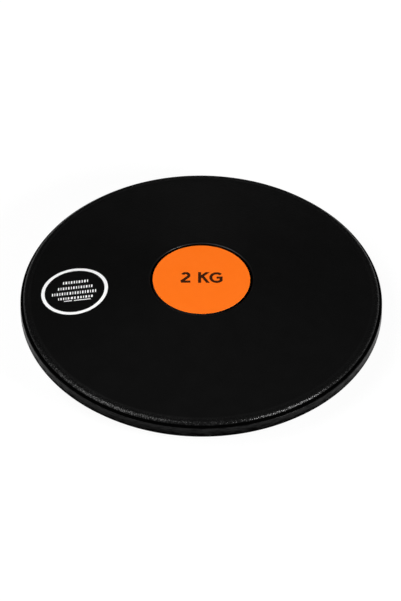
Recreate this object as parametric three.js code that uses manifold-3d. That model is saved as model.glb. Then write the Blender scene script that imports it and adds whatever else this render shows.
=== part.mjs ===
// A 2 kg class discus: two grained side shells glued to a steel rim ring and screwed to a steel hub.
// Millimetres, +Z up. The origin is the centre of the flat that the discus rests on.
import * as THREE from "three";
import { mergeVertices } from "three/addons/utils/BufferGeometryUtils.js";
import Module from "manifold-3d";

// Whole discus
const DISC_DIAMETER = 220;
const CENTRE_THICKNESS = 44;
const RIM_THICKNESS = 12.8;

// Rim ring: a band that shows all round the edge, and a wedge of steel hidden between the shells
const BAND_HEIGHT = 6.4;
const BAND_CORNER = 0.5;
const RING_DEPTH = 26.7;
const RING_BORE_CORNER = 1;

// Side shell
const SHELL_WALL = 3.6;
const LIP_SETBACK = 1.6;
const LIP_ROUND = 2.6;
const LIP_FOOT_ROUND = 0.4;
const FLAT_RADIUS = 32.8;
const RECESS_EDGE_ROUND = 0.6;
const RING_TO_CONE_CLEARANCE = 0.3;

// Centre of each side: label over a steel plate, in a recess of the shell
const LABEL_RADIUS = 29.6;
const LABEL_THICKNESS = 0.5;
const LABEL_DEPTH = 0.3;
const LABEL_SIDE_CLEARANCE = 1.6;
const PLATE_THICKNESS = 3;
const PLATE_EDGE_CHAMFER = 0.3;

// Hub and its countersunk screws
const HUB_RADIUS = 25;
const HUB_CHAMFER = 1.2;
const SCREW_RADIUS = 4;
const SCREW_TIP_GAP = 6;
const SCREW_HEAD_RADIUS = 8;
const SCREW_HEAD_SINK = 0.1;
const SCREW_TIP_CHAMFER = 0.8;
const SCREW_CLEARANCE = 0.3;
const SOCKET_ACROSS_FLATS = 5;
const SOCKET_DEPTH = 2.8;

// Film of glue between pieces that seat on each other
const GLUE_FILM = 0.1;

// How finely the round pieces are divided
const EDGE_SEGMENTS = 80;
const CENTRE_SEGMENTS = 60;
const SCREW_SEGMENTS = 30;
const LIP_STEPS = 5;
const SMALL_ROUND_STEPS = 2;

// Heights above the mid-plane, and radii, that several pieces share
const discRadius = DISC_DIAMETER / 2;
const halfThickness = CENTRE_THICKNESS / 2;
const bandTop = BAND_HEIGHT / 2;
const lipRadius = discRadius - LIP_SETBACK;
const lipCentre = new THREE.Vector2(lipRadius - LIP_ROUND, RIM_THICKNESS / 2 - LIP_ROUND);
const lipUnderside = bandTop + GLUE_FILM;
const labelTop = halfThickness - LABEL_DEPTH;
const plateTop = labelTop - LABEL_THICKNESS - GLUE_FILM;
const plateUnderside = plateTop - PLATE_THICKNESS;
const recessFloor = plateUnderside - GLUE_FILM;
const recessRadius = LABEL_RADIUS + LABEL_SIDE_CLEARANCE;
const webUnderside = recessFloor - SHELL_WALL;
const hubTop = webUnderside - GLUE_FILM;
const screwTop = plateTop - SCREW_HEAD_SINK;
const screwHoleRadius = SCREW_RADIUS + SCREW_CLEARANCE;
const ringBoreRadius = discRadius - RING_DEPTH;

// The cone of a side leaves the flat's edge and meets the lip's round at a tangent
const flatToLip = new THREE.Vector2(lipCentre.x - FLAT_RADIUS, halfThickness - lipCentre.y);
const coneAngle = Math.atan2(flatToLip.y, flatToLip.x) - Math.asin(LIP_ROUND / flatToLip.length());
const coneRise = Math.tan(coneAngle);
const coneHeight = (radius) => halfThickness - (radius - FLAT_RADIUS) * coneRise;
const innerConeHeight = (radius) => coneHeight(radius) - SHELL_WALL / Math.cos(coneAngle);
const innerConeRadius = (height) => FLAT_RADIUS + (innerConeHeight(FLAT_RADIUS) - height) / coneRise;

const wasm = await Module();
wasm.setup();

const point = (radius, height) => new THREE.Vector2(radius, height);

// Points of a round, from one angle to another, counted from the outward horizontal
function round(centre, radius, fromAngle, toAngle, steps) {
  const points = [];
  for (let i = 0; i <= steps; i += 1) {
    const angle = fromAngle + ((toAngle - fromAngle) * i) / steps;
    points.push(point(centre.x + radius * Math.cos(angle), centre.y + radius * Math.sin(angle)));
  }
  return points;
}

// A profile of radius and height, turned about the vertical axis
function turned(profile, segments) {
  return new THREE.LatheGeometry(profile, segments).rotateX(Math.PI / 2);
}

function closedLoop(profile) {
  return [...profile, profile[0]];
}

function mirroredLoop(upperHalf) {
  const lowerHalf = upperHalf.map((p) => point(p.x, -p.y)).reverse();
  return closedLoop([...lowerHalf, ...upperHalf]);
}

function solidOf(geometry) {
  const bare = geometry.clone();
  bare.deleteAttribute("normal");
  bare.deleteAttribute("uv");
  const merged = mergeVertices(bare);
  return new wasm.Manifold(
    new wasm.Mesh({
      numProp: merged.attributes.position.itemSize,
      vertProperties: merged.attributes.position.array,
      triVerts: new Uint32Array(merged.index.array),
    }),
  );
}

function geometryOf(solid) {
  const mesh = solid.getMesh();
  const geometry = new THREE.BufferGeometry();
  geometry.setAttribute("position", new THREE.BufferAttribute(mesh.vertProperties, mesh.numProp));
  geometry.setIndex(new THREE.BufferAttribute(mesh.triVerts, 1));
  geometry.computeVertexNormals();
  return geometry;
}

// Materials
function blackPaintedSteel() {
  return new THREE.MeshStandardMaterial({ color: 0x121212, roughness: 0.35, metalness: 0.3 });
}

function grainedBlackPlastic() {
  return new THREE.MeshStandardMaterial({ color: 0x0e0e0e, roughness: 0.55, metalness: 0 });
}

function plainSteel() {
  return new THREE.MeshStandardMaterial({ color: 0xa8aaad, roughness: 0.4, metalness: 1 });
}

function orangeLabel() {
  return new THREE.MeshStandardMaterial({ color: 0xfc7319, roughness: 0.5, metalness: 0 });
}

// Rim ring: the band stands proud of both lips, and its shelves carry the shells
function rimRing() {
  const shelfRadius = innerConeRadius(bandTop + RING_TO_CONE_CLEARANCE);
  const boreTop = innerConeHeight(ringBoreRadius + RING_BORE_CORNER) - RING_TO_CONE_CLEARANCE;
  const bandCorner = point(discRadius - BAND_CORNER, bandTop - BAND_CORNER);
  const upperHalf = [
    ...round(bandCorner, BAND_CORNER, 0, Math.PI / 2, SMALL_ROUND_STEPS),
    point(shelfRadius, bandTop),
    point(ringBoreRadius + RING_BORE_CORNER, boreTop),
    point(ringBoreRadius, boreTop - RING_BORE_CORNER),
  ];
  return turned(mirroredLoop(upperHalf), EDGE_SEGMENTS);
}

// Side shell, as it lies above the mid-plane: centre recess, flat, cone, lip, and the wall behind them
function sideShell() {
  const recessEdge = point(recessRadius + RECESS_EDGE_ROUND, halfThickness - RECESS_EDGE_ROUND);
  const footCentre = point(lipRadius - LIP_FOOT_ROUND, lipUnderside + LIP_FOOT_ROUND);
  const webHoleRadius = headRadiusAt(recessFloor) + SCREW_CLEARANCE;
  const bossRadius = recessRadius + SHELL_WALL;
  const outside = [
    point(webHoleRadius, recessFloor),
    point(recessRadius, recessFloor),
    ...round(recessEdge, RECESS_EDGE_ROUND, Math.PI, Math.PI / 2, SMALL_ROUND_STEPS),
    point(FLAT_RADIUS, halfThickness),
    ...round(lipCentre, LIP_ROUND, Math.PI / 2 - coneAngle, 0, LIP_STEPS),
    ...round(footCentre, LIP_FOOT_ROUND, 0, -Math.PI / 2, SMALL_ROUND_STEPS),
  ];
  const inside = [
    point(innerConeRadius(lipUnderside), lipUnderside),
    point(bossRadius, innerConeHeight(bossRadius)),
    point(bossRadius, webUnderside),
    point(webHoleRadius, webUnderside),
  ];
  return turned(closedLoop([...outside, ...inside].reverse()), EDGE_SEGMENTS);
}

// Hub: a steel spool core, tapped right through, that spaces the two shells
function hubCore() {
  const upperHalf = [
    point(HUB_RADIUS, hubTop - HUB_CHAMFER),
    point(HUB_RADIUS - HUB_CHAMFER, hubTop),
    point(screwHoleRadius, hubTop),
  ];
  return turned(mirroredLoop(upperHalf), CENTRE_SEGMENTS);
}

// The countersunk head narrows by its own depth, as a 90 degree head does
function headRadiusAt(height) {
  return Math.max(SCREW_RADIUS, SCREW_HEAD_RADIUS - (screwTop - height));
}

// Centre plate: a disc with a countersunk hole, set in the shell's recess
function centrePlate() {
  const outerRadius = LABEL_RADIUS;
  const profile = [
    point(headRadiusAt(plateUnderside) + SCREW_CLEARANCE, plateUnderside),
    point(outerRadius - PLATE_EDGE_CHAMFER, plateUnderside),
    point(outerRadius, plateUnderside + PLATE_EDGE_CHAMFER),
    point(outerRadius, plateTop),
    point(headRadiusAt(plateTop) + SCREW_CLEARANCE, plateTop),
  ];
  return turned(closedLoop(profile), CENTRE_SEGMENTS);
}

// Countersunk screw with a hexagon socket
function centreScrew() {
  const tip = SCREW_TIP_GAP / 2;
  const profile = [
    point(0, tip),
    point(SCREW_RADIUS - SCREW_TIP_CHAMFER, tip),
    point(SCREW_RADIUS, tip + SCREW_TIP_CHAMFER),
    point(SCREW_RADIUS, screwTop - (SCREW_HEAD_RADIUS - SCREW_RADIUS)),
    point(SCREW_HEAD_RADIUS, screwTop),
    point(0, screwTop),
  ];
  const blank = solidOf(turned(profile, SCREW_SEGMENTS));
  return geometryOf(blank.subtract(solidOf(hexagonSocket())));
}

function hexagonSocket() {
  const sides = 6;
  const cornerRadius = SOCKET_ACROSS_FLATS / 2 / Math.cos(Math.PI / sides);
  const height = SOCKET_DEPTH * 2;
  const prism = new THREE.CylinderGeometry(cornerRadius, cornerRadius, height, sides);
  return prism.rotateX(Math.PI / 2).translate(0, 0, screwTop);
}

// Label: a thin printed disc that hides the plate and its screw
function centreLabel() {
  const profile = [
    point(0, plateTop + GLUE_FILM),
    point(LABEL_RADIUS, plateTop + GLUE_FILM),
    point(LABEL_RADIUS, labelTop),
    point(0, labelTop),
  ];
  return turned(profile, CENTRE_SEGMENTS);
}

function named(name, geometry, material) {
  const mesh = new THREE.Mesh(geometry, material);
  mesh.name = name;
  return mesh;
}

// The pieces that each side of the discus has, turned over for the lower side
function sideGroup(side) {
  const group = new THREE.Group();
  group.add(
    named(`${side}_side_shell`, sideShell(), grainedBlackPlastic()),
    named(`${side}_centre_plate`, centrePlate(), plainSteel()),
    named(`${side}_centre_screw`, centreScrew(), plainSteel()),
    named(`${side}_label`, centreLabel(), orangeLabel()),
  );
  return group;
}

const upperSide = sideGroup("upper");
const lowerSide = sideGroup("lower");
lowerSide.rotation.x = Math.PI;

// Everything above is measured from the mid-plane, so the assembly is lifted onto its resting flat
const assembly = new THREE.Group();
assembly.position.z = halfThickness;
assembly.add(
  named("rim_ring", rimRing(), blackPaintedSteel()),
  named("hub_core", hubCore(), plainSteel()),
  upperSide,
  lowerSide,
);

const discus = new THREE.Group();
discus.add(assembly);

export default discus;
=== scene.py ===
import math

import bmesh
import bpy
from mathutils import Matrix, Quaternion, Vector


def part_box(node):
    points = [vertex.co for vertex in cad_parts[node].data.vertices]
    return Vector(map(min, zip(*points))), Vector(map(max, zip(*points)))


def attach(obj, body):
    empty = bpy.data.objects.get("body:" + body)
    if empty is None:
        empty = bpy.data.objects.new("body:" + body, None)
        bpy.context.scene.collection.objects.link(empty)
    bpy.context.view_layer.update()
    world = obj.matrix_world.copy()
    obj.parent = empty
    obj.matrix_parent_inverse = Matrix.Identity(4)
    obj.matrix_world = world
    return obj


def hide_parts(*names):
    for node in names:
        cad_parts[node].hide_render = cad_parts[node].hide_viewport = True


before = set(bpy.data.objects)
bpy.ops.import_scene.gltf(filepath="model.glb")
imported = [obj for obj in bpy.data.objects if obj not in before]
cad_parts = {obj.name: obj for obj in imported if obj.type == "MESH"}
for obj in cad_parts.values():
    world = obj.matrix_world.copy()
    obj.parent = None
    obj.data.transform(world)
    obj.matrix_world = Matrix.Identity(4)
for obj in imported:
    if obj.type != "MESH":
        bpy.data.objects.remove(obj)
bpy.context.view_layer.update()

MM = 0.001

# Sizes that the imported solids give
ring_low, ring_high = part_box("rim_ring")
shell_low, shell_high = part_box("upper_side_shell")
label_low, label_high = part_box("upper_label")
MID_HEIGHT = (ring_low.z + ring_high.z) / 2
DISC_RADIUS = ring_high.x
HALF_THICKNESS = shell_high.z - MID_HEIGHT
LIP_RADIUS = shell_high.x
LIP_UNDERSIDE = shell_low.z - MID_HEIGHT
LABEL_RADIUS = label_high.x
LABEL_TOP = label_high.z - MID_HEIGHT
LABEL_UNDERSIDE = label_low.z - MID_HEIGHT
RING_BORE_TOP = ring_high.z - MID_HEIGHT

# Sizes of the same solids that their boxes don't show
RIM_HALF_THICKNESS = 6.4 * MM
BAND_TOP = 3.2 * MM
BAND_CORNER = 0.5 * MM
RING_BORE_RADIUS = 83.3 * MM
RING_BORE_CORNER = 1 * MM
RING_TO_CONE_CLEARANCE = 0.3 * MM
SHELL_WALL = 3.6 * MM
LIP_ROUND = 2.6 * MM
LIP_FOOT_ROUND = 0.4 * MM
FLAT_RADIUS = 32.8 * MM
RECESS_SIDE_CLEARANCE = 1.6 * MM
RECESS_EDGE_ROUND = 0.6 * MM
RECESS_FLOOR = 18.0 * MM
WEB_HOLE_RADIUS = 5.3 * MM
LABEL_EDGE_ROUND = 0.15 * MM

# How finely the smooth meshes are divided
EDGE_SEGMENTS = 288
ROUND_STEPS = 8
LIP_STEPS = 24
LONGEST_STEP = 6 * MM
# How far extra points lie from a profile's corners, and the shortest side that has them
GUARD = 0.2 * MM
SHORTEST_GUARDED = 4 * GUARD
# Corners sharper than this, in degrees, aren't smoothed
SHARP_ANGLE = 30

# Directions in a profile, in degrees counted from the outward horizontal
OUTWARD = 0
UPWARD = 90
INWARD = 180
DOWNWARD = -90

# The side's cone leaves the flat's edge and meets the lip's round at a tangent
LIP_CENTRE = Vector((LIP_RADIUS - LIP_ROUND, RIM_HALF_THICKNESS - LIP_ROUND))
flat_to_lip = Vector((LIP_CENTRE.x - FLAT_RADIUS, HALF_THICKNESS - LIP_CENTRE.y))
CONE_ANGLE = math.atan2(flat_to_lip.y, flat_to_lip.x) - math.asin(LIP_ROUND / flat_to_lip.length)
CONE_RISE = math.tan(CONE_ANGLE)
RECESS_RADIUS = LABEL_RADIUS + RECESS_SIDE_CLEARANCE


def cone_height(radius):
    return HALF_THICKNESS - (radius - FLAT_RADIUS) * CONE_RISE


def inner_cone_height(radius):
    return cone_height(radius) - SHELL_WALL / math.cos(CONE_ANGLE)


def inner_cone_radius(height):
    return FLAT_RADIUS + (inner_cone_height(FLAT_RADIUS) - height) / CONE_RISE


# Profiles: lists of points of radius and height, measured from the mid-plane
def arc(centre, radius, start, end, steps):
    """Points of a round between two directions in degrees."""
    angles = [math.radians(start + (end - start) * i / steps) for i in range(steps + 1)]
    return [Vector((centre.x + radius * math.cos(a), centre.y + radius * math.sin(a))) for a in angles]


def guarded(loop):
    """A closed profile with extra points beside its corners, so that smooth shading stays in the rounds."""
    points = []
    for start, end in zip(loop, loop[1:] + loop[:1]):
        length = (end - start).length
        points.append(start)
        if length > SHORTEST_GUARDED:
            steps = max(1, round(length / LONGEST_STEP))
            inner = [GUARD + (length - 2 * GUARD) * i / steps for i in range(steps + 1)]
            points += [start.lerp(end, distance / length) for distance in inner]
    return points


def mirrored(upper_half):
    return [Vector((p.x, -p.y)) for p in reversed(upper_half)] + upper_half


def ring_profile():
    corner = Vector((DISC_RADIUS - BAND_CORNER, BAND_TOP - BAND_CORNER))
    shelf_radius = inner_cone_radius(BAND_TOP + RING_TO_CONE_CLEARANCE)
    upper_half = [
        *arc(corner, BAND_CORNER, OUTWARD, UPWARD, ROUND_STEPS),
        Vector((shelf_radius, BAND_TOP)),
        Vector((RING_BORE_RADIUS + RING_BORE_CORNER, RING_BORE_TOP)),
        Vector((RING_BORE_RADIUS, RING_BORE_TOP - RING_BORE_CORNER)),
    ]
    return guarded(mirrored(upper_half))


def shell_profile():
    recess_edge = Vector((RECESS_RADIUS + RECESS_EDGE_ROUND, HALF_THICKNESS - RECESS_EDGE_ROUND))
    foot = Vector((LIP_RADIUS - LIP_FOOT_ROUND, LIP_UNDERSIDE + LIP_FOOT_ROUND))
    cone_normal = UPWARD - math.degrees(CONE_ANGLE)
    boss_radius = RECESS_RADIUS + SHELL_WALL
    web_underside = RECESS_FLOOR - SHELL_WALL
    outside = [
        Vector((WEB_HOLE_RADIUS, RECESS_FLOOR)),
        Vector((RECESS_RADIUS, RECESS_FLOOR)),
        *arc(recess_edge, RECESS_EDGE_ROUND, INWARD, UPWARD, ROUND_STEPS),
        Vector((FLAT_RADIUS, HALF_THICKNESS)),
        *arc(LIP_CENTRE, LIP_ROUND, cone_normal, OUTWARD, LIP_STEPS),
        *arc(foot, LIP_FOOT_ROUND, OUTWARD, DOWNWARD, ROUND_STEPS),
    ]
    inside = [
        Vector((inner_cone_radius(LIP_UNDERSIDE), LIP_UNDERSIDE)),
        Vector((boss_radius, inner_cone_height(boss_radius))),
        Vector((boss_radius, web_underside)),
        Vector((WEB_HOLE_RADIUS, web_underside)),
    ]
    return guarded(outside + inside)


def label_profile():
    """The label's edge, from underneath to on top. Flat faces close the two sides inside it."""
    top_edge = Vector((LABEL_RADIUS - LABEL_EDGE_ROUND, LABEL_TOP - LABEL_EDGE_ROUND))
    return [
        Vector((LABEL_RADIUS - GUARD, LABEL_UNDERSIDE)),
        Vector((LABEL_RADIUS, LABEL_UNDERSIDE)),
        *arc(top_edge, LABEL_EDGE_ROUND, OUTWARD, UPWARD, ROUND_STEPS),
        Vector((LABEL_RADIUS - LABEL_EDGE_ROUND - GUARD, LABEL_TOP)),
    ]


# Mesh building
def on_side(side, x, y, height):
    """A point of the upper side, or the same point once the discus is turned over about X."""
    sign = 1 if side == "upper" else -1
    return Vector((x, sign * y, MID_HEIGHT + sign * height))


def turned(bm, profile, side, closed):
    """Turns a profile about Z. An open one is closed by a flat face at each end."""
    rows = []
    for i in range(EDGE_SEGMENTS):
        angle = 2 * math.pi * i / EDGE_SEGMENTS
        c, s = math.cos(angle), math.sin(angle)
        rows.append([bm.verts.new(on_side(side, p.x * c, p.x * s, p.y)) for p in profile])
    steps = len(profile) if closed else len(profile) - 1
    for row, after in zip(rows, rows[1:] + rows[:1]):
        for j in range(steps):
            k = (j + 1) % len(profile)
            bm.faces.new((row[j], after[j], after[k], row[k]))
    if not closed:
        bm.faces.new([row[0] for row in rows])
        bm.faces.new([row[-1] for row in rows])


def piece_from(bm, name, material, replaced=None):
    """Finishes a mesh: faces turned outwards, smooth with sharp corners kept, its material and its ties."""
    bmesh.ops.recalc_face_normals(bm, faces=bm.faces)
    mesh = bpy.data.meshes.new(name)
    bm.to_mesh(mesh)
    bm.free()
    mesh.shade_smooth()
    mesh.set_sharp_from_angle(angle=math.radians(SHARP_ANGLE))
    mesh.materials.append(material)
    piece = bpy.data.objects.new(name, mesh)
    bpy.context.scene.collection.objects.link(piece)
    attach(piece, "root")
    if replaced:
        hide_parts(replaced)


# Material building
# Most noise lies between these two values
NOISE_LOW = 0.3
NOISE_HIGH = 0.7
# The colour sockets of a Mix node, which share their names with its other sockets
MIX_FIRST = 6
MIX_SECOND = 7
MIX_RESULT = 2


def grey(level):
    return (level, level, level, 1)


def new_material(name):
    material = bpy.data.materials.new(name)
    material.use_nodes = True
    tree = material.node_tree
    return material, tree, tree.nodes["Principled BSDF"]


def set_inputs(tree, node, inputs):
    """Gives each input of a node its value, or links it to a socket."""
    for socket, value in inputs.items():
        if isinstance(value, bpy.types.NodeSocket):
            tree.links.new(value, node.inputs[socket])
        else:
            node.inputs[socket].default_value = value


def add_node(tree, kind, inputs=None, **settings):
    node = tree.nodes.new(kind)
    for setting, value in settings.items():
        setattr(node, setting, value)
    set_inputs(tree, node, inputs or {})
    return node


def maths(tree, operation, *values):
    """One step of arithmetic on numbers or sockets."""
    node = add_node(tree, "ShaderNodeMath", dict(enumerate(values)), operation=operation)
    return node.outputs["Value"]


def product(tree, first, second):
    return maths(tree, "MULTIPLY", first, second)


def sum_of(tree, first, second, share):
    """first + share x second"""
    return maths(tree, "MULTIPLY_ADD", second, share, first)


def mapped(tree, value, start, end, low, high, shape="LINEAR"):
    """Takes a value from the range start to end to the range low to high, and holds it at their ends."""
    inputs = {"Value": value, "From Min": start, "From Max": end, "To Min": low, "To Max": high}
    return add_node(tree, "ShaderNodeMapRange", inputs, interpolation_type=shape).outputs["Result"]


def span(tree, share, low, high):
    """Takes a share from 0 to 1 to the range low to high."""
    return mapped(tree, share, 0.0, 1.0, low, high)


def rise(tree, value, start, end, low=0.0, high=1.0):
    """low on the start's side, high on the end's side, and a soft change from start to end."""
    return mapped(tree, value, start, end, low, high, "SMOOTHSTEP")


def place(tree):
    """Where a point is on the discus, in metres."""
    return add_node(tree, "ShaderNodeTexCoord").outputs["Object"]


def scaled(tree, vector, scales):
    inputs = {0: vector, 1: scales}
    return add_node(tree, "ShaderNodeVectorMath", inputs, operation="MULTIPLY").outputs["Vector"]


def height_of(tree, vector):
    return add_node(tree, "ShaderNodeSeparateXYZ", {0: vector}).outputs["Z"]


def off_axis(tree, where):
    """How far a point is from the axis of the discus."""
    across = scaled(tree, where, (1.0, 1.0, 0.0))
    return add_node(tree, "ShaderNodeVectorMath", {0: across}, operation="LENGTH").outputs["Value"]


def off_middle(tree, where):
    """How far a point is above or below the mid-plane."""
    return maths(tree, "ABSOLUTE", maths(tree, "SUBTRACT", height_of(tree, where), MID_HEIGHT))


def noise(tree, where, size, detail=2.0):
    """Noise whose lumps are about size metres across."""
    inputs = {"Vector": where, "Scale": 1 / size, "Detail": detail}
    return add_node(tree, "ShaderNodeTexNoise", inputs).outputs["Fac"]


def noise_range(tree, pattern, low, high):
    """Takes noise to about the range low to high."""
    return mapped(tree, pattern, NOISE_LOW, NOISE_HIGH, low, high)


def mixed_colour(tree, share, first, second):
    """first where the share is 0 and second where it is 1. Each is a colour with its alpha, or a socket."""
    inputs = {"Factor": share, MIX_FIRST: first, MIX_SECOND: second}
    return add_node(tree, "ShaderNodeMix", inputs, data_type="RGBA").outputs[MIX_RESULT]


def bumped(tree, height, depth):
    """The normal of a surface with bumps of that depth in metres."""
    inputs = {"Height": height, "Distance": depth, "Strength": 1.0}
    return add_node(tree, "ShaderNodeBump", inputs).outputs["Normal"]


# Painted shade: the black painted where shade falls deep in a seam
SEAM_SHADE_BLACK = grey(0.0009)

# The plastic's grain: its pebbles, which a coarse noise shifts, and a finer grain over them
PEBBLE_SIZE = 1.05 * MM
PEBBLE_BLEND = 0.2
WARP_SIZE = 2.2 * MM
WARP_SHIFT = 0.3 * MM
FINE_GRAIN_SIZE = 0.35 * MM
FINE_GRAIN_SHARE = 0.25
FACE_GRAIN_DEPTH = 0.05 * MM
LIP_GRAIN_DEPTH = 0.17 * MM
# Where the lip's look sets in, and where it is full
LIP_LOOK_START = LIP_RADIUS - 5.2 * MM
LIP_LOOK_FULL = LIP_RADIUS - 2.2 * MM
# Roughness: that of the face, with patches rubbed smoother, and how much smoother the lip is
RUB_SIZE = 24 * MM
FACE_ROUGHNESS = (0.3, 0.38)
LIP_POLISH = 0.07
# Colour: lighter patches on the face, and where the painted shade of the groove and of the recess is full
# and ends
PATCH_SIZE = 9 * MM
FACE_DARK = grey(0.0032)
FACE_LIGHT = grey(0.0044)
GROOVE_SHADE_FULL = LIP_UNDERSIDE + 1.1 * MM
GROOVE_SHADE_END = LIP_UNDERSIDE + 1.8 * MM
RECESS_SHADE_FULL = RECESS_RADIUS - 0.02 * MM
RECESS_SHADE_END = RECESS_RADIUS + 0.05 * MM
# Gloss: the specular level, and the tint that multiplies what is mirrored straight on. The lip's low level
# and high tint let it mirror little more at a glancing angle, as grain does that shades itself. The tops of
# the pebbles there mirror more than the valleys between them.
FACE_SPECULAR = 0.055
LIP_SPECULAR = 0.0155
LIP_SHEEN = 25.0
LIP_TOP_SHEEN_SHARE = 1.6
LIP_VALLEY_SHEEN_SHARE = 0.25
PEBBLE_TOP = 0.15
PEBBLE_VALLEY = 0.6
RECESS_EDGE_SHEEN = 4.5
RECESS_SHEEN_FULL = RECESS_RADIUS + 0.7 * MM
RECESS_SHEEN_END = RECESS_RADIUS + 1.3 * MM


def pebble_pattern(tree, where):
    """0 on top of each pebble of the grain, and growing towards the valleys between them."""
    warp = add_node(tree, "ShaderNodeTexNoise", {"Vector": where, "Scale": 1 / WARP_SIZE, "Detail": 1.0})
    shift = scaled(tree, warp.outputs["Color"], (WARP_SHIFT, WARP_SHIFT, WARP_SHIFT))
    moved = add_node(tree, "ShaderNodeVectorMath", {0: where, 1: shift}, operation="ADD")
    inputs = {"Vector": moved.outputs["Vector"], "Scale": 1 / PEBBLE_SIZE, "Smoothness": PEBBLE_BLEND}
    return add_node(tree, "ShaderNodeTexVoronoi", inputs, feature="SMOOTH_F1").outputs["Distance"]


def grained_plastic():
    """Near-black plastic with a pebbled grain, deeper and glossier on the lip, and painted shade in the
    seams.
    """
    material, tree, shader = new_material("grained_black_plastic")
    where = place(tree)
    radius = off_axis(tree, where)
    on_lip = rise(tree, radius, LIP_LOOK_START, LIP_LOOK_FULL)
    pebbles = pebble_pattern(tree, where)
    fine = noise(tree, where, FINE_GRAIN_SIZE)
    grain = sum_of(tree, product(tree, pebbles, -1.0), fine, FINE_GRAIN_SHARE)
    grain_depth = span(tree, on_lip, FACE_GRAIN_DEPTH, LIP_GRAIN_DEPTH)
    rub = noise_range(tree, noise(tree, where, RUB_SIZE, detail=4.0), *FACE_ROUGHNESS)

    # Painted shade: the groove, up over the lip's lower part, and the gap of the recess are black and mirror
    # nothing
    out_of_groove = rise(tree, off_middle(tree, where), GROOVE_SHADE_FULL, GROOVE_SHADE_END)
    out_of_recess = rise(tree, radius, RECESS_SHADE_FULL, RECESS_SHADE_END)
    out_of_painted_shade = product(tree, out_of_groove, out_of_recess)
    tone = mixed_colour(tree, noise(tree, where, PATCH_SIZE, detail=3.0), FACE_DARK, FACE_LIGHT)

    top_sheen = span(tree, on_lip, 1.0, LIP_TOP_SHEEN_SHARE)
    valley_sheen = span(tree, on_lip, 1.0, LIP_VALLEY_SHEEN_SHARE)
    grain_sheen = mapped(tree, pebbles, PEBBLE_TOP, PEBBLE_VALLEY, top_sheen, valley_sheen)
    lip_sheen = product(tree, span(tree, on_lip, 1.0, LIP_SHEEN), grain_sheen)
    recess_sheen = rise(tree, radius, RECESS_SHEEN_END, RECESS_SHEEN_FULL, high=RECESS_EDGE_SHEEN)
    gloss = span(tree, on_lip, FACE_SPECULAR, LIP_SPECULAR)
    looks = {
        "Base Color": mixed_colour(tree, out_of_painted_shade, SEAM_SHADE_BLACK, tone),
        "Roughness": sum_of(tree, rub, on_lip, -LIP_POLISH),
        "Specular IOR Level": product(tree, gloss, out_of_painted_shade),
        "Specular Tint": sum_of(tree, lip_sheen, recess_sheen, 1.0),
        "Normal": bumped(tree, grain, grain_depth),
    }
    set_inputs(tree, shader, looks)
    return material


# The rim's paint: lathe lines, drawn out round the band, and orange peel
LATHE_STRETCH = (0.02, 0.02, 1.0)
LATHE_LINE_SIZE = 0.5 * MM
LATHE_LINE_SHARE = 0.5
PEEL_SIZE = 1.6 * MM
PAINT_DEPTH = 0.008 * MM
PAINT_PATCH_SIZE = 14 * MM
PAINT_ROUGHNESS = (0.22, 0.32)
# Painted light: the paint is darker at the bottom of the band and lighter and glossier at its top, for how
# the light falls, with streaks of dust over it
TOP_LIGHT_SHARE = 0.85
STREAK_STRETCH = (0.2, 0.2, 1.0)
STREAK_SIZE = 0.9 * MM
STREAK_DUST = (-0.5, 0.5)
PAINT_DARK = grey(0.0005)
PAINT_LIGHT = (0.0086, 0.0086, 0.0087, 1)
DARK_PAINT_SPECULAR = 0.003
LIGHT_PAINT_SPECULAR = 0.045
# Where the band's face begins, outside the painted shade of the seam over it
BAND_FACE_START = DISC_RADIUS - 0.6 * MM
BAND_FACE_FULL = DISC_RADIUS - 0.15 * MM


def painted_steel():
    """Black satin paint over a turned steel band: faint lathe lines round it and a little orange peel."""
    material, tree, shader = new_material("satin_black_paint")
    where = place(tree)
    lines = noise(tree, scaled(tree, where, LATHE_STRETCH), LATHE_LINE_SIZE, detail=1.0)
    relief = sum_of(tree, noise(tree, where, PEEL_SIZE), lines, LATHE_LINE_SHARE)
    streaks = noise(tree, scaled(tree, where, STREAK_STRETCH), STREAK_SIZE, detail=3.0)
    band_low, band_high = MID_HEIGHT - BAND_TOP, MID_HEIGHT + BAND_TOP
    # Painted light and shade: darker at the band's bottom, lighter and glossier towards its top
    painted_top_light = rise(tree, height_of(tree, where), band_low, band_high, high=TOP_LIGHT_SHARE)
    dust_and_top_light = sum_of(tree, painted_top_light, noise_range(tree, streaks, *STREAK_DUST), 1.0)
    film = mixed_colour(tree, dust_and_top_light, PAINT_DARK, PAINT_LIGHT)
    # Painted shade: the band's top, deep in the seam, is black and mirrors nothing
    outside = rise(tree, off_axis(tree, where), BAND_FACE_START, BAND_FACE_FULL)
    gloss = span(tree, dust_and_top_light, DARK_PAINT_SPECULAR, LIGHT_PAINT_SPECULAR)
    rub = noise(tree, where, PAINT_PATCH_SIZE, detail=3.0)
    looks = {
        "Base Color": mixed_colour(tree, outside, SEAM_SHADE_BLACK, film),
        "Roughness": noise_range(tree, rub, *PAINT_ROUGHNESS),
        "Specular IOR Level": product(tree, outside, gloss),
        "Normal": bumped(tree, relief, PAINT_DEPTH),
    }
    set_inputs(tree, shader, looks)
    return material


# The label: orange ink with a faint mottle, on a fine leatherette. It ends on the round of the label's edge.
MOTTLE_SIZE = 6 * MM
ORANGE_DEEP = (0.96, 0.163, 0.0085, 1)
ORANGE_LIGHT = (0.985, 0.18, 0.011, 1)
LEATHERETTE_SIZE = 0.4 * MM
LEATHERETTE_DEPTH = 0.01 * MM
LABEL_RUB_SIZE = 10 * MM
LABEL_ROUGHNESS = (0.44, 0.56)
PRINT_SPECULAR = 0.15


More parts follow.
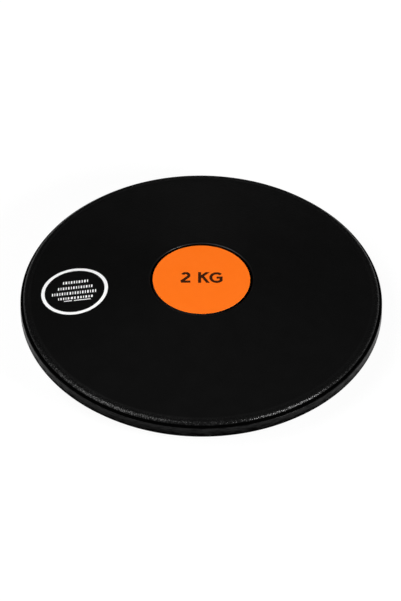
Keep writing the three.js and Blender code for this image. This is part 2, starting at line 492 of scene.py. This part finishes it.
def orange_print():
    """The label's printed face, and its edge under the print, black as painted shade of the gap round it."""
    material, tree, shader = new_material("orange_label_face")
    where = place(tree)
    print_start = LABEL_TOP - LABEL_EDGE_ROUND
    # Painted shade: below the print the label's edge is black and mirrors nothing, for the gap round the
    # label
    printed = rise(tree, off_middle(tree, where), print_start, print_start + LABEL_EDGE_ROUND / 2)
    tone = mixed_colour(tree, noise(tree, where, MOTTLE_SIZE, detail=4.0), ORANGE_DEEP, ORANGE_LIGHT)
    looks = {
        "Base Color": mixed_colour(tree, printed, SEAM_SHADE_BLACK, tone),
        "Roughness": noise_range(tree, noise(tree, where, LABEL_RUB_SIZE), *LABEL_ROUGHNESS),
        "Specular IOR Level": product(tree, printed, PRINT_SPECULAR),
        "Normal": bumped(tree, noise(tree, where, LEATHERETTE_SIZE, detail=3.0), LEATHERETTE_DEPTH),
    }
    set_inputs(tree, shader, looks)
    return material


# Printing ink: its thin and its full colour, and its roughness
DARK_INK = ((0.048, 0.013, 0.004, 1), (0.036, 0.0095, 0.003, 1), 0.45)
WHITE_INK = (grey(0.94), grey(0.985), 0.5)
INK_COVER_SIZE = 0.8 * MM
INK_RELIEF_SIZE = 0.3 * MM
INK_RELIEF_DEPTH = 0.004 * MM


def ink(name, thin, full, roughness):
    """Printing ink that lies a little thinner in places."""
    material, tree, shader = new_material(name)
    where = place(tree)
    looks = {
        "Base Color": mixed_colour(tree, noise(tree, where, INK_COVER_SIZE, detail=3.0), thin, full),
        "Roughness": roughness,
        "Specular IOR Level": PRINT_SPECULAR,
        "Normal": bumped(tree, noise(tree, where, INK_RELIEF_SIZE), INK_RELIEF_DEPTH),
    }
    set_inputs(tree, shader, looks)
    return material


# Bare steel, turned on a lathe
TURNED_LINE_SIZE = 0.25 * MM
TURNED_LINE_DEPTH = 0.01 * MM
STEEL_ROUGHNESS = (0.24, 0.42)
STAIN_SIZE = 12 * MM
STEEL_DULL = (0.5, 0.505, 0.51, 1)
STEEL_BRIGHT = (0.62, 0.63, 0.64, 1)


def turned_steel():
    """Fine rings about the axis and uneven brightness."""
    material, tree, shader = new_material("turned_steel")
    where = place(tree)
    rings = add_node(tree, "ShaderNodeCombineXYZ", {0: off_axis(tree, where), 1: height_of(tree, where)})
    lines = noise(tree, rings.outputs["Vector"], TURNED_LINE_SIZE, detail=3.0)
    stain = noise(tree, where, STAIN_SIZE, detail=4.0)
    looks = {
        "Base Color": mixed_colour(tree, stain, STEEL_DULL, STEEL_BRIGHT),
        "Metallic": 1.0,
        "Roughness": noise_range(tree, lines, *STEEL_ROUGHNESS),
        "Normal": bumped(tree, lines, TURNED_LINE_DEPTH),
    }
    set_inputs(tree, shader, looks)
    return material


# Print: flat outlines laid on the label or on the cone as thin films of ink
INK_THICKNESS = 0.03 * MM
INK_SINK = 0.01 * MM
# Degrees between the points of an arc
ARC_STEP = 7.5


def ellipse(centre_x, centre_y, radius_x, radius_y, start, end):
    """Points of an elliptic arc, its angles in degrees."""
    steps = max(2, round(abs(end - start) / ARC_STEP))
    angles = [math.radians(start + (end - start) * i / steps) for i in range(steps + 1)]
    return [(centre_x + radius_x * math.cos(a), centre_y + radius_y * math.sin(a)) for a in angles]


# The weight, in plain strokes: millimetres from the label's centre
STROKE = 1.86
BASELINE = -2.93
CAP_HEIGHT = 9.25
CAP_TOP = BASELINE + CAP_HEIGHT


def glyph_2(left, width):
    """A round bowl that runs into a 45 degree stroke and a straight base."""
    outer = width / 2
    inner = outer - STROKE
    centre = (left + outer, CAP_TOP - outer)
    hook, foot = 160, -45
    base_top = BASELINE + STROKE
    slant = math.sqrt(0.5)
    outer_foot = (centre[0] + outer * slant, centre[1] - outer * slant)
    inner_foot = (centre[0] + inner * slant, centre[1] - inner * slant)
    return [
        *ellipse(*centre, outer, outer, hook, foot),
        (outer_foot[0] - (outer_foot[1] - base_top), base_top),
        (left + width, base_top),
        (left + width, BASELINE),
        (left, BASELINE),
        (inner_foot[0] - (inner_foot[1] - base_top), base_top),
        *ellipse(*centre, inner, inner, foot, hook),
    ]


def glyph_k(left, width):
    """A stem, an arm at 45 degrees and a steeper leg that leaves the arm's underside."""
    right = left + width
    stem = left + STROKE
    arm_low = CAP_TOP - (right - stem)
    arm_high = arm_low + STROKE * math.sqrt(2)
    leg_top = (stem + STROKE, arm_low + STROKE)
    leg_run = right - leg_top[0]
    leg_drop = leg_top[1] - BASELINE
    leg_breadth = STROKE * math.hypot(leg_run, leg_drop) / leg_drop
    leg_left = right - leg_breadth
    run_per_drop = leg_run / leg_drop
    crotch = stem + (leg_left - stem - (arm_low - BASELINE) * run_per_drop) / (1 + run_per_drop)
    return [
        (left, BASELINE),
        (stem, BASELINE),
        (stem, arm_low),
        (crotch, arm_low + crotch - stem),
        (leg_left, BASELINE),
        (right, BASELINE),
        leg_top,
        (right, CAP_TOP),
        (right - (arm_high - arm_low), CAP_TOP),
        (stem, arm_high),
        (stem, CAP_TOP),
        (left, CAP_TOP),
    ]


def glyph_g(left, width):
    """An open oval with a bar and a short upright."""
    radius_x, radius_y = width / 2, CAP_HEIGHT / 2
    centre = (left + radius_x, BASELINE + radius_y)
    mouth, outer_end, whole_turn = 46, 325, 360
    upright = centre[0] + radius_x * math.cos(math.radians(outer_end))
    inner_cosine = (upright - STROKE - centre[0]) / (radius_x - STROKE)
    inner_end = whole_turn - math.degrees(math.acos(inner_cosine))
    bar_top = centre[1] + STROKE / 2
    return [
        *ellipse(*centre, radius_x, radius_y, mouth, outer_end),
        (upright, bar_top),
        (centre[0], bar_top),
        (centre[0], bar_top - STROKE),
        (upright - STROKE, bar_top - STROKE),
        *ellipse(*centre, radius_x - STROKE, radius_y - STROKE, inner_end, mouth),
    ]


WEIGHT_OUTLINES = [
    glyph_2(left=-12.4, width=5.7),
    glyph_k(left=-2.05, width=7.15),
    glyph_g(left=4.8, width=8.9),
]


def film(bm, outline, side, height_at):
    """One closed film of ink: its outline, in metres, laid on the surface that height_at gives."""
    bottom = [bm.verts.new(on_side(side, x, y, height_at(x, y) - INK_SINK)) for x, y in outline]
    top = [bm.verts.new(on_side(side, x, y, height_at(x, y) + INK_THICKNESS)) for x, y in outline]
    bm.faces.new(bottom)
    bm.faces.new(top)
    count = len(outline)
    for i in range(count):
        j = (i + 1) % count
        bm.faces.new((bottom[i], bottom[j], top[j], top[i]))


def weight_mark(side, material):
    bm = bmesh.new()
    for outline in WEIGHT_OUTLINES:
        film(bm, [(x * MM, y * MM) for x, y in outline], side, lambda x, y: LABEL_TOP)
    piece_from(bm, f"{side}_weight_mark", material)


# The ring mark: a ring with rows of plain bars in it, on the upper side's cone. Its centre is a place on the
# side's plan, and its sizes are millimetres from there.
MARK_CENTRE = Vector((-77.0 * MM, -1.55 * MM))
MARK_RADIUS_X = 20.3
MARK_RADIUS_Y = 19.75
MARK_LINE = 2.07
MARK_SLANT = 0.05
MARK_SEGMENTS = 144
# Each row: its middle along Y, its height and the ends of its groups along X
BAR_ROWS = (
    (7.65, 2.2, ((-7.1, 8.1),)),
    (2.85, 2.15, ((-10.1, 10.8),)),
    (-1.65, 2.3, ((-13.7, -4.0), (-3.0, 13.1))),
    (-5.85, 1.85, ((-9.9, -3.2), (-2.2, 0.7), (1.8, 11.1))),
)
# The line under the rows, in two strokes
UNDERLINE = (-8.1, 0.6, ((-6.3, -1.5), (-0.3, 9.8)))
# How the bars of a group differ in length
BAR_SHARES = (1.0, 0.7, 1.25, 0.85, 1.3, 0.75, 1.15)
BAR_PITCH = 1.6
BAR_GAP = 0.84


def on_cone(x, y):
    return cone_height(math.hypot(x, y))


def mark_point(x, y):
    """Where a point of the mark lies on the side's plan, in metres. The print slants a little."""
    return MARK_CENTRE.x + x * MM, MARK_CENTRE.y + (y - MARK_SLANT * x) * MM


def ring_mark(material):
    bm = bmesh.new()
    corners = ((MARK_LINE, -INK_SINK), (0.0, -INK_SINK), (0.0, INK_THICKNESS), (MARK_LINE, INK_THICKNESS))
    rows = []
    for i in range(MARK_SEGMENTS):
        angle = 2 * math.pi * i / MARK_SEGMENTS
        row = []
        for inset, lift in corners:
            radius_x, radius_y = MARK_RADIUS_X - inset, MARK_RADIUS_Y - inset
            x, y = mark_point(radius_x * math.cos(angle), radius_y * math.sin(angle))
            row.append(bm.verts.new(on_side("upper", x, y, on_cone(x, y) + lift)))
        rows.append(row)
    for row, after in zip(rows, rows[1:] + rows[:1]):
        for j in range(len(corners)):
            k = (j + 1) % len(corners)
            bm.faces.new((row[j], after[j], after[k], row[k]))
    piece_from(bm, "ring_mark", material)


def bar(bm, start, end, middle_y, height):
    low, high = middle_y - height / 2, middle_y + height / 2
    outline = [mark_point(x, y) for x, y in ((start, low), (end, low), (end, high), (start, high))]
    film(bm, outline, "upper", on_cone)


def bars_mark(material):
    bm = bmesh.new()
    for middle_y, height, groups in BAR_ROWS:
        for start, end in groups:
            count = round((end - start + BAR_GAP) / BAR_PITCH)
            shares = [BAR_SHARES[(i + count) % len(BAR_SHARES)] for i in range(count)]
            ink_length = (end - start - BAR_GAP * (count - 1)) / sum(shares)
            x = start
            for share in shares:
                bar(bm, x, x + share * ink_length, middle_y, height)
                x += share * ink_length + BAR_GAP
    middle_y, height, strokes = UNDERLINE
    for start, end in strokes:
        bar(bm, start, end, middle_y, height)
    piece_from(bm, "ring_mark_bars", material)


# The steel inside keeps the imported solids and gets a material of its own
INNER_STEEL = (
    "hub_core",
    "upper_centre_plate",
    "lower_centre_plate",
    "upper_centre_screw",
    "lower_centre_screw",
)


def dress_frame():
    plastic = grained_plastic()
    paint = painted_steel()
    orange = orange_print()
    steel = turned_steel()
    dark_ink = ink("dark_ink", *DARK_INK)
    white_ink = ink("white_ink", *WHITE_INK)

    rim = bmesh.new()
    turned(rim, ring_profile(), "upper", closed=True)
    piece_from(rim, "painted_rim_ring", paint, "rim_ring")
    for side in ("upper", "lower"):
        shell = bmesh.new()
        turned(shell, shell_profile(), side, closed=True)
        piece_from(shell, f"{side}_grained_shell", plastic, f"{side}_side_shell")
        label = bmesh.new()
        turned(label, label_profile(), side, closed=False)
        piece_from(label, f"{side}_printed_label", orange, f"{side}_label")
        weight_mark(side, dark_ink)
    ring_mark(white_ink)
    bars_mark(white_ink)

    for node in INNER_STEEL:
        for material_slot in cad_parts[node].material_slots:
            material_slot.material = steel


# Stage: floor, studio, softboxes and camera
FLOOR_SIZE = 60.0
FLOOR_DROP = 0.1 * MM
FLOOR_COLOUR = grey(0.14)
FLOOR_ROUGHNESS = 0.9
FLOOR_GLOW = 0.9
WHITE = grey(1)
WALL_TOP = 0.02
CEILING_START = 0.06
CEILING_LEVEL = 0.02
SOFTBOX_DISTANCE = 2.0
# Each softbox: its azimuth from the camera's side towards +X, its elevation, both in degrees, its width,
# its height and its radiance
SOFTBOXES = {
    "left_softbox": (-60, 42, 1.6, 2.2, 4.0),
    "right_softbox": (51, 22, 0.55, 0.75, 37.0),
}


def background_seen(tree):
    """1 for the rays that show a background: camera, glossy and transmission rays."""
    path = add_node(tree, "ShaderNodeLightPath").outputs
    either = maths(tree, "MAXIMUM", path["Is Camera Ray"], path["Is Glossy Ray"])
    return maths(tree, "MAXIMUM", either, path["Is Transmission Ray"])


def make_floor():
    bm = bmesh.new()
    half = FLOOR_SIZE / 2
    corners = ((-half, -half), (half, -half), (half, half), (-half, half))
    bm.faces.new([bm.verts.new((x, y, -FLOOR_DROP)) for x, y in corners])
    mesh = bpy.data.meshes.new("studio_floor")
    bm.to_mesh(mesh)
    bm.free()
    material, tree, shader = new_material("white_floor")
    looks = {
        "Base Color": FLOOR_COLOUR,
        "Roughness": FLOOR_ROUGHNESS,
        "Specular IOR Level": 0.0,
        "Emission Color": WHITE,
        "Emission Strength": product(tree, background_seen(tree), FLOOR_GLOW),
    }
    set_inputs(tree, shader, looks)
    mesh.materials.append(material)
    floor = bpy.data.objects.new("studio_floor", mesh)
    bpy.context.scene.collection.objects.link(floor)


def make_world():
    """Pale walls up to a low height and a dim ceiling above them."""
    world = bpy.data.worlds.new("studio")
    world.use_nodes = True
    bpy.context.scene.world = world
    tree = world.node_tree
    direction = add_node(tree, "ShaderNodeTexCoord").outputs["Generated"]
    level = rise(tree, height_of(tree, direction), WALL_TOP, CEILING_START, low=1.0, high=CEILING_LEVEL)
    set_inputs(tree, tree.nodes["Background"], {"Color": WHITE, "Strength": level})


def make_softbox(name, azimuth, elevation, width, height, radiance):
    turn, lift = math.radians(azimuth), math.radians(elevation)
    direction = Vector((math.sin(turn) * math.cos(lift), -math.cos(turn) * math.cos(lift), math.sin(lift)))
    light = bpy.data.lights.new(name, "AREA")
    light.shape = "RECTANGLE"
    light.size, light.size_y = width, height
    light.energy = radiance * math.pi * width * height
    softbox = bpy.data.objects.new(name, light)
    bpy.context.scene.collection.objects.link(softbox)
    softbox.location = direction * SOFTBOX_DISTANCE
    softbox.rotation_mode = "QUATERNION"
    softbox.rotation_quaternion = (-direction).to_track_quat("-Z", "Y")
    softbox.visible_camera = False


# The photograph's camera, fitted to the outline, the label's edge and the ring mark
PHOTO_HEIGHT_PIXELS = 601
FOCAL_PIXELS = 13152
SENSOR_MM = 36
CAMERA_DISTANCE = 8.0
CAMERA_ELEVATION = 44.49
CAMERA_ROLL = 0.46
AIM_ABOVE_CENTRE = 2.69 * MM
AIM_LEFT_OF_CENTRE = 0.46 * MM
NEAREST_SEEN = 1.0
FURTHEST_SEEN = 100.0


def make_camera():
    data = bpy.data.cameras.new("photo_camera")
    data.sensor_width = SENSOR_MM
    data.lens = FOCAL_PIXELS * SENSOR_MM / PHOTO_HEIGHT_PIXELS
    data.clip_start, data.clip_end = NEAREST_SEEN, FURTHEST_SEEN
    camera = bpy.data.objects.new("photo_camera", data)
    bpy.context.scene.collection.objects.link(camera)
    bpy.context.scene.camera = camera
    elevation = math.radians(CAMERA_ELEVATION)
    back = Vector((0, -math.cos(elevation), math.sin(elevation)))
    right = Vector((1, 0, 0))
    up = back.cross(right)
    centre = Vector((0, 0, MID_HEIGHT))
    aim = centre + up * AIM_ABOVE_CENTRE - right * AIM_LEFT_OF_CENTRE
    camera.location = centre + back * CAMERA_DISTANCE
    camera.rotation_mode = "QUATERNION"
    tilt = Quaternion((0, 0, 1), math.radians(CAMERA_ROLL))
    camera.rotation_quaternion = (aim - camera.location).to_track_quat("-Z", "Y") @ tilt


make_camera()
make_floor()
make_world()
for softbox_name, softbox_values in SOFTBOXES.items():
    make_softbox(softbox_name, *softbox_values)
dress_frame()

bpy.context.scene.view_settings.view_transform = "Standard"
